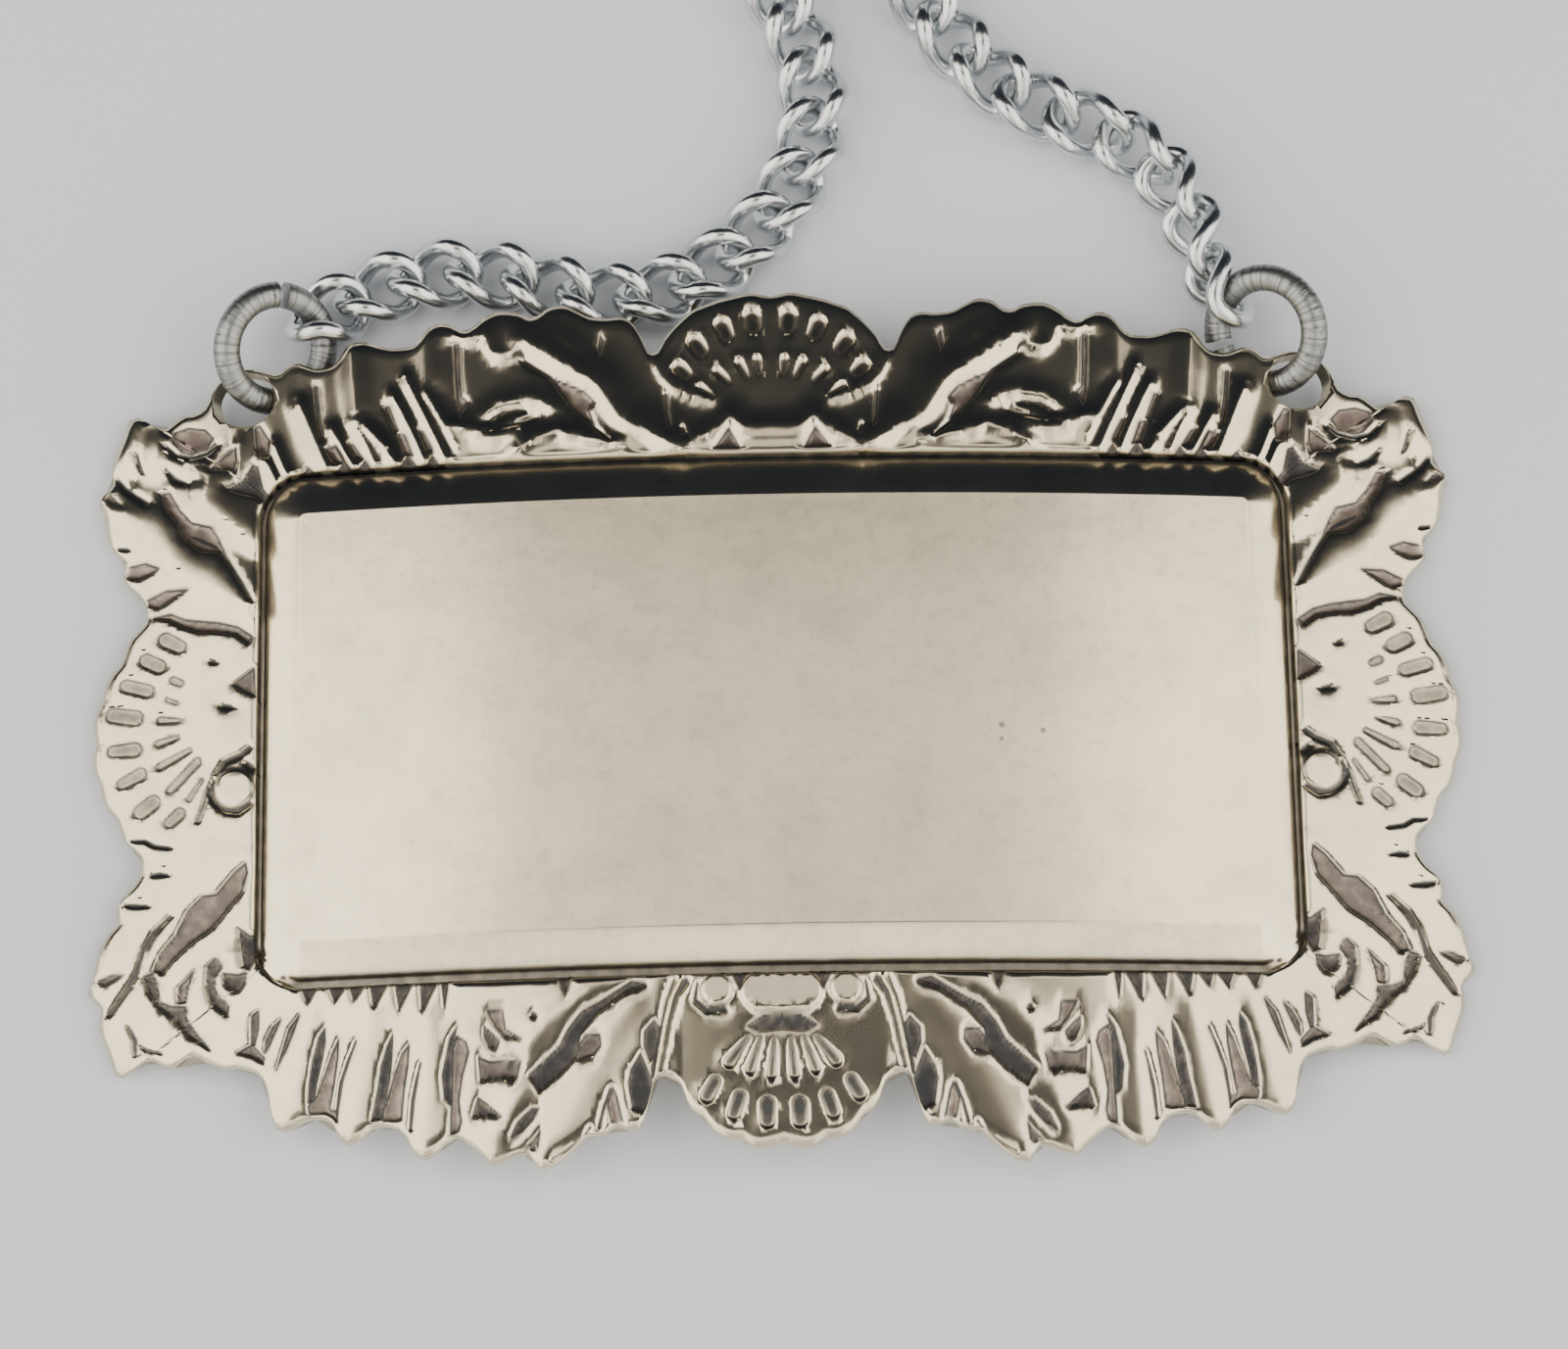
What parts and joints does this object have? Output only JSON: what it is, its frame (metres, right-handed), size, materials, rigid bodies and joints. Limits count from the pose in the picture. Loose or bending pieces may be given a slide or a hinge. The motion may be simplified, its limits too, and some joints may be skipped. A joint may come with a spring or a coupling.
{
  "type": "silver_wine_label",
  "caption": "Silver wine label: a struck, bowed plate with a raised blank panel in a border of shells, leaves and gadroons, hung from two jump rings on a curb chain for a bottle neck.",
  "frame": {"origin": "the middle of the label, on the plane that the label lies on", "axes": "+X to the right along the label's width, +Y up the label's face towards the chain, +Z out of the face"},
  "size_m": [0.0552, 0.0713, 0.0044],
  "materials": {
    "label_silver": "struck and polished silver, warm with age, dark in the hollows",
    "ring_silver": "drawn silver wire, duller than the chain",
    "chain_silver": "bright polished silver wire"
  },
  "bodies": {
    "label": {"label_sheet": "label_silver"},
    "left_ring": {"left_jump_ring": "ring_silver"},
    "right_ring": {"right_jump_ring": "ring_silver"},
    "left_link_01": {"left_link_01": "chain_silver"},
    "left_link_02": {"left_link_02": "chain_silver"},
    "left_link_03": {"left_link_03": "chain_silver"},
    "left_link_04": {"left_link_04": "chain_silver"},
    "left_link_05": {"left_link_05": "chain_silver"},
    "left_link_06": {"left_link_06": "chain_silver"},
    "left_link_07": {"left_link_07": "chain_silver"},
    "left_link_08": {"left_link_08": "chain_silver"},
    "left_link_09": {"left_link_09": "chain_silver"},
    "left_link_10": {"left_link_10": "chain_silver"},
    "left_link_11": {"left_link_11": "chain_silver"},
    "left_link_12": {"left_link_12": "chain_silver"},
    "left_link_13": {"left_link_13": "chain_silver"},
    "left_link_14": {"left_link_14": "chain_silver"},
    "left_link_15": {"left_link_15": "chain_silver"},
    "left_link_16": {"left_link_16": "chain_silver"},
    "left_link_17": {"left_link_17": "chain_silver"},
    "left_link_18": {"left_link_18": "chain_silver"},
    "left_link_19": {"left_link_19": "chain_silver"},
    "left_link_20": {"left_link_20": "chain_silver"},
    "left_link_21": {"left_link_21": "chain_silver"},
    "left_link_22": {"left_link_22": "chain_silver"},
    "left_link_23": {"left_link_23": "chain_silver"},
    "left_link_24": {"left_link_24": "chain_silver"},
    "left_link_25": {"left_link_25": "chain_silver"},
    "right_link_01": {"right_link_01": "chain_silver"},
    "right_link_02": {"right_link_02": "chain_silver"},
    "right_link_03": {"right_link_03": "chain_silver"},
    "right_link_04": {"right_link_04": "chain_silver"},
    "right_link_05": {"right_link_05": "chain_silver"},
    "right_link_06": {"right_link_06": "chain_silver"},
    "right_link_07": {"right_link_07": "chain_silver"},
    "right_link_08": {"right_link_08": "chain_silver"},
    "right_link_09": {"right_link_09": "chain_silver"},
    "right_link_10": {"right_link_10": "chain_silver"},
    "right_link_11": {"right_link_11": "chain_silver"},
    "right_link_12": {"right_link_12": "chain_silver"},
    "right_link_13": {"right_link_13": "chain_silver"},
    "right_link_14": {"right_link_14": "chain_silver"},
    "right_link_15": {"right_link_15": "chain_silver"},
    "right_link_16": {"right_link_16": "chain_silver"},
    "right_link_17": {"right_link_17": "chain_silver"}
  },
  "joints": [
    {"name": "left_ring_swivel", "type": "hinge", "parent": "label", "child": "left_ring", "pos_m": [-0.0215, 0.01415, 0.00164], "axis": [-0.5253, 0.2059, 0.8256], "range_deg": [0, 12]},
    {"name": "left_link_01_swing", "type": "hinge", "parent": "left_ring", "child": "left_link_01", "pos_m": [-0.01865, 0.01771, 0.00157], "axis": [-0.3918, 0.6819, 0.6177], "range_deg": [0, 20]},
    {"name": "left_link_02_swing", "type": "hinge", "parent": "left_link_01", "child": "left_link_02", "pos_m": [-0.01724, 0.01866, 0.00122], "axis": [0, 0, 1], "range_deg": [0, 10]},
    {"name": "left_link_03_swing", "type": "hinge", "parent": "left_link_02", "child": "left_link_03", "pos_m": [-0.01504, 0.01955, 0.0012], "axis": [0, 0, 1], "range_deg": [0, 10]},
    {"name": "left_link_04_swing", "type": "hinge", "parent": "left_link_03", "child": "left_link_04", "pos_m": [-0.01268, 0.01988, 0.00118], "axis": [0, 0, 1], "range_deg": [0, 10]},
    {"name": "left_link_05_swing", "type": "hinge", "parent": "left_link_04", "child": "left_link_05", "pos_m": [-0.01032, 0.01955, 0.00117], "axis": [0, 0, 1], "range_deg": [0, 10]},
    {"name": "left_link_06_swing", "type": "hinge", "parent": "left_link_05", "child": "left_link_06", "pos_m": [-0.00806, 0.01882, 0.00115], "axis": [0, 0, 1], "range_deg": [0, 10]},
    {"name": "left_link_07_swing", "type": "hinge", "parent": "left_link_06", "child": "left_link_07", "pos_m": [-0.00569, 0.01857, 0.00113], "axis": [0, 0, 1], "range_deg": [0, 10]},
    {"name": "left_link_08_swing", "type": "hinge", "parent": "left_link_07", "child": "left_link_08", "pos_m": [-0.0034, 0.01922, 0.00111], "axis": [0, 0, 1], "range_deg": [0, 10]},
    {"name": "left_link_09_swing", "type": "hinge", "parent": "left_link_08", "child": "left_link_09", "pos_m": [-0.00139, 0.02048, 0.00111], "axis": [-0.6293, 0.7771, 0], "range_deg": [-20, 20]},
    {"name": "left_link_10_swing", "type": "hinge", "parent": "left_link_09", "child": "left_link_10", "pos_m": [0.00027, 0.0222, 0.00111], "axis": [0.7986, -0.6018, 0], "range_deg": [-20, 20]},
    {"name": "left_link_11_swing", "type": "hinge", "parent": "left_link_10", "child": "left_link_11", "pos_m": [0.00146, 0.02426, 0.00111], "axis": [-0.9272, 0.3746, 0], "range_deg": [-20, 20]},
    {"name": "left_link_12_swing", "type": "hinge", "parent": "left_link_11", "child": "left_link_12", "pos_m": [0.00203, 0.02657, 0.00111], "axis": [0.9969, -0.0785, 0], "range_deg": [-20, 20]},
    {"name": "left_link_13_swing", "type": "hinge", "parent": "left_link_12", "child": "left_link_13", "pos_m": [0.00183, 0.02894, 0.00111], "axis": [-0.9799, -0.1994, 0], "range_deg": [-20, 20]},
    {"name": "left_link_14_swing", "type": "hinge", "parent": "left_link_13", "child": "left_link_14", "pos_m": [0.00109, 0.0312, 0.00111], "axis": [0.9304, 0.3665, 0], "range_deg": [-20, 20]},
    {"name": "left_link_15_swing", "type": "hinge", "parent": "left_link_14", "child": "left_link_15", "pos_m": [0.00009, 0.03336, 0.00111], "axis": [-0.866, -0.5, 0], "range_deg": [-20, 20]},
    {"name": "left_link_16_swing", "type": "hinge", "parent": "left_link_15", "child": "left_link_16", "pos_m": [-0.00128, 0.03531, 0.00111], "axis": [0.7933, 0.6088, 0], "range_deg": [-20, 20]},
    {"name": "left_link_17_swing", "type": "hinge", "parent": "left_link_16", "child": "left_link_17", "pos_m": [-0.00281, 0.03713, 0.00111], "axis": [-0.7934, -0.6088, 0], "range_deg": [-20, 20]},
    {"name": "left_link_18_swing", "type": "hinge", "parent": "left_link_17", "child": "left_link_18", "pos_m": [-0.00418, 0.03908, 0.00111], "axis": [0.866, 0.5, 0], "range_deg": [-20, 20]},
    {"name": "left_link_19_swing", "type": "hinge", "parent": "left_link_18", "child": "left_link_19", "pos_m": [-0.00518, 0.04124, 0.00111], "axis": [-0.9537, -0.3007, 0], "range_deg": [-20, 20]},
    {"name": "left_link_20_swing", "type": "hinge", "parent": "left_link_19", "child": "left_link_20", "pos_m": [-0.0056, 0.04358, 0.00111], "axis": [0.9998, 0.0174, 0], "range_deg": [-20, 20]},
    {"name": "left_link_21_swing", "type": "hinge", "parent": "left_link_20", "child": "left_link_21", "pos_m": [-0.00526, 0.04594, 0.00111], "axis": [-0.9563, 0.2924, 0], "range_deg": [-20, 20]},
    {"name": "left_link_22_swing", "type": "hinge", "parent": "left_link_21", "child": "left_link_22", "pos_m": [-0.00422, 0.04808, 0.00111], "axis": [0.8192, -0.5736, 0], "range_deg": [-20, 20]},
    {"name": "left_link_23_swing", "type": "hinge", "parent": "left_link_22", "child": "left_link_23", "pos_m": [-0.00257, 0.04979, 0.00111], "axis": [-0.6018, 0.7986, 0], "range_deg": [-20, 20]},
    {"name": "left_link_24_swing", "type": "hinge", "parent": "left_link_23", "child": "left_link_24", "pos_m": [-0.00047, 0.05091, 0.00111], "axis": [0.3256, -0.9455, 0], "range_deg": [-20, 20]},
    {"name": "left_link_25_swing", "type": "hinge", "parent": "left_link_24", "child": "left_link_25", "pos_m": [0.00188, 0.05132, 0.00111], "axis": [-0.1789, 0.9839, 0], "range_deg": [-20, 20]},
    {"name": "right_ring_swivel", "type": "hinge", "parent": "label", "child": "right_ring", "pos_m": [0.0215, 0.01415, 0.00164], "axis": [0.5253, 0.2059, 0.8256], "range_deg": [-12, 0]},
    {"name": "right_link_01_swing", "type": "hinge", "parent": "right_ring", "child": "right_link_01", "pos_m": [0.01878, 0.01791, 0.00176], "axis": [0.4942, 0.5895, 0.6389], "range_deg": [-20, 20]},
    {"name": "right_link_02_swing", "type": "hinge", "parent": "right_link_01", "child": "right_link_02", "pos_m": [0.01803, 0.01945, 0.00151], "axis": [0.9399, 0.3415, 0], "range_deg": [-20, 20]},
    {"name": "right_link_03_swing", "type": "hinge", "parent": "right_link_02", "child": "right_link_03", "pos_m": [0.01746, 0.02176, 0.00158], "axis": [-0.9336, -0.3584, 0], "range_deg": [-20, 20]},
    {"name": "right_link_04_swing", "type": "hinge", "parent": "right_link_03", "child": "right_link_04", "pos_m": [0.01634, 0.02386, 0.00158], "axis": [0.7771, 0.6293, 0], "range_deg": [-20, 20]},
    {"name": "right_link_05_swing", "type": "hinge", "parent": "right_link_04", "child": "right_link_05", "pos_m": [0.01452, 0.02539, 0.00156], "axis": [-0.5151, -0.8571, 0], "range_deg": [-20, 20]},
    {"name": "right_link_06_swing", "type": "hinge", "parent": "right_link_05", "child": "right_link_06", "pos_m": [0.01231, 0.02628, 0.00148], "axis": [0.4383, 0.8988, 0], "range_deg": [-20, 20]},
    {"name": "right_link_07_swing", "type": "hinge", "parent": "right_link_06", "child": "right_link_07", "pos_m": [0.01026, 0.02747, 0.00133], "axis": [-0.6017, -0.7987, 0], "range_deg": [-20, 20]},
    {"name": "right_link_08_swing", "type": "hinge", "parent": "right_link_07", "child": "right_link_08", "pos_m": [0.00855, 0.02911, 0.00111], "axis": [0.7548, 0.6559, 0], "range_deg": [-20, 20]},
    {"name": "right_link_09_swing", "type": "hinge", "parent": "right_link_08", "child": "right_link_09", "pos_m": [0.00715, 0.03104, 0.00111], "axis": [-0.866, -0.5, 0], "range_deg": [-20, 20]},
    {"name": "right_link_10_swing", "type": "hinge", "parent": "right_link_09", "child": "right_link_10", "pos_m": [0.00618, 0.03321, 0.00111], "axis": [0.9613, 0.2756, 0], "range_deg": [-20, 20]},
    {"name": "right_link_11_swing", "type": "hinge", "parent": "right_link_10", "child": "right_link_11", "pos_m": [0.00585, 0.03557, 0.00111], "axis": [-1, 0, 0], "range_deg": [-20, 20]},
    {"name": "right_link_12_swing", "type": "hinge", "parent": "right_link_11", "child": "right_link_12", "pos_m": [0.00618, 0.03793, 0.00111], "axis": [0.9613, -0.2756, 0], "range_deg": [-20, 20]},
    {"name": "right_link_13_swing", "type": "hinge", "parent": "right_link_12", "child": "right_link_13", "pos_m": [0.00715, 0.0401, 0.00111], "axis": [-0.891, 0.454, 0], "range_deg": [-20, 20]},
    {"name": "right_link_14_swing", "type": "hinge", "parent": "right_link_13", "child": "right_link_14", "pos_m": [0.00834, 0.04216, 0.00111], "axis": [0.9135, -0.4067, 0], "range_deg": [-20, 20]},
    {"name": "right_link_15_swing", "type": "hinge", "parent": "right_link_14", "child": "right_link_15", "pos_m": [0.00908, 0.04442, 0.00111], "axis": [-0.9903, 0.1392, 0], "range_deg": [-20, 20]},
    {"name": "right_link_16_swing", "type": "hinge", "parent": "right_link_15", "child": "right_link_16", "pos_m": [0.00899, 0.0468, 0.00111], "axis": [0.9744, 0.225, 0], "range_deg": [-20, 20]},
    {"name": "right_link_17_swing", "type": "hinge", "parent": "right_link_16", "child": "right_link_17", "pos_m": [0.00802, 0.04898, 0.00111], "axis": [-0.8192, -0.5736, 0], "range_deg": [-20, 20]}
  ]
}
